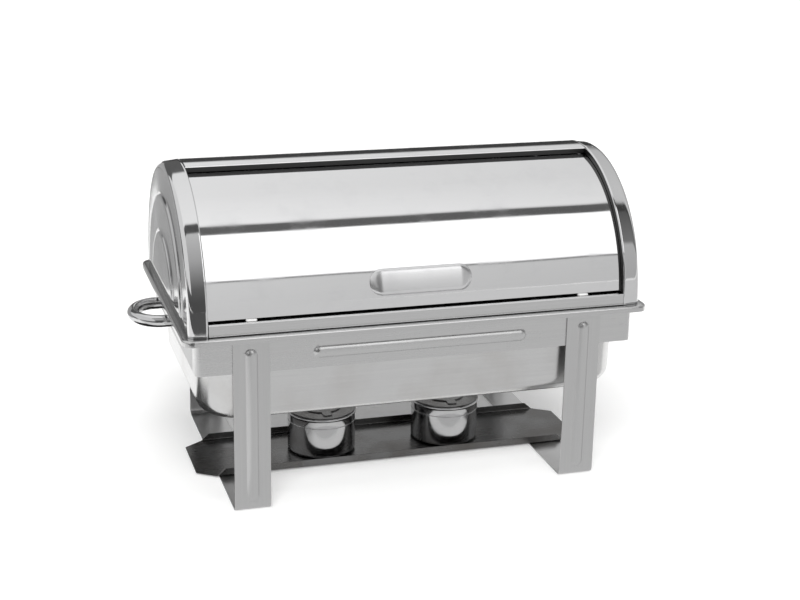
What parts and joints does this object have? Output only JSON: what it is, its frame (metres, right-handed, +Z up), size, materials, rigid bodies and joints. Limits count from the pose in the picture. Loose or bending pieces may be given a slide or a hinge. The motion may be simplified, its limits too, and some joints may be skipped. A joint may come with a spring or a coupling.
{
  "type": "chafing dish food warmer",
  "caption": "Roll-top chafing dish: strap-legged stand with fuel burners, water pan, food pan and a lift-off lid whose front cover rolls back.",
  "frame": {"origin": "on the table, under the centre of the dish", "axes": "+X along the length, -Y towards the user at the front, +Z up"},
  "size_m": [0.674, 0.354, 0.402],
  "materials": {
    "polished_steel": "mirror-polished stainless steel with fine wipe marks",
    "satin_steel": "satin stainless steel",
    "tray_steel": "satin stainless steel, heat-dulled",
    "white_nylon": "off-white nylon"
  },
  "bodies": {
    "stand": {"left_leg_strap": "satin_steel", "left_end_apron": "satin_steel", "left_handle": "polished_steel", "left_front_handle_screw": "satin_steel", "left_rear_handle_screw": "satin_steel", "right_leg_strap": "satin_steel", "right_end_apron": "satin_steel", "right_handle": "polished_steel", "right_front_handle_screw": "satin_steel", "right_rear_handle_screw": "satin_steel", "front_apron": "satin_steel", "rear_apron": "satin_steel", "burner_tray": "tray_steel"},
    "water_pan_assembly": {"pan_rim_frame": "satin_steel", "water_pan": "satin_steel"},
    "food_pan_body": {"food_pan": "satin_steel"},
    "lid_frame": {"left_arch_hoop": "polished_steel", "left_end_panel": "polished_steel", "left_pivot_stud": "satin_steel", "left_pivot_washer": "white_nylon", "left_pivot_nut": "satin_steel", "left_cover_bumper": "white_nylon", "right_arch_hoop": "polished_steel", "right_end_panel": "polished_steel", "right_pivot_stud": "satin_steel", "right_pivot_washer": "white_nylon", "right_pivot_nut": "satin_steel", "right_cover_bumper": "white_nylon", "rear_cover": "polished_steel", "top_rail": "polished_steel", "front_sill": "satin_steel", "rear_stiffener": "satin_steel"},
    "rolling_cover": {"roll_cover": "polished_steel", "roll_cover_grip": "polished_steel", "left_cover_side": "satin_steel", "right_cover_side": "satin_steel"},
    "left_burner": {"left_burner_cup": "polished_steel"},
    "left_burner_lid": {"left_burner_cover": "satin_steel", "left_shutter_rivet": "satin_steel"},
    "left_shutter": {"left_burner_shutter": "polished_steel"},
    "right_burner": {"right_burner_cup": "polished_steel"},
    "right_burner_lid": {"right_burner_cover": "satin_steel", "right_shutter_rivet": "satin_steel"},
    "right_shutter": {"right_burner_shutter": "polished_steel"}
  },
  "joints": [
    {"name": "water_pan_lift", "type": "slide", "parent": "stand", "child": "water_pan_assembly", "axis": [0, 0, 1], "range_m": [0, 0.125]},
    {"name": "food_pan_lift", "type": "slide", "parent": "water_pan_assembly", "child": "food_pan_body", "axis": [0, 0, 1], "range_m": [0, 0.08]},
    {"name": "lid_lift", "type": "slide", "parent": "food_pan_body", "child": "lid_frame", "axis": [0, 0, 1], "range_m": [0, 0.06]},
    {"name": "cover_roll", "type": "hinge", "parent": "lid_frame", "child": "rolling_cover", "pos_m": [0, 0, 0.2335], "axis": [-1, 0, 0], "range_deg": [0, 58]},
    {"name": "left_burner_lift", "type": "slide", "parent": "stand", "child": "left_burner", "axis": [0, 0, 1], "range_m": [0, 0.04]},
    {"name": "left_burner_lid_lift", "type": "slide", "parent": "left_burner", "child": "left_burner_lid", "axis": [0, 0, 1], "range_m": [0, 0.012]},
    {"name": "left_shutter_swing", "type": "hinge", "parent": "left_burner_lid", "child": "left_shutter", "pos_m": [-0.086, 0.033, 0.062], "axis": [0, 0, -1], "range_deg": [0, 95]},
    {"name": "right_burner_lift", "type": "slide", "parent": "stand", "child": "right_burner", "axis": [0, 0, 1], "range_m": [0, 0.04]},
    {"name": "right_burner_lid_lift", "type": "slide", "parent": "right_burner", "child": "right_burner_lid", "axis": [0, 0, 1], "range_m": [0, 0.012]},
    {"name": "right_shutter_swing", "type": "hinge", "parent": "right_burner_lid", "child": "right_shutter", "pos_m": [0.086, 0.033, 0.062], "axis": [0, 0, 1], "range_deg": [0, 95]}
  ]
}
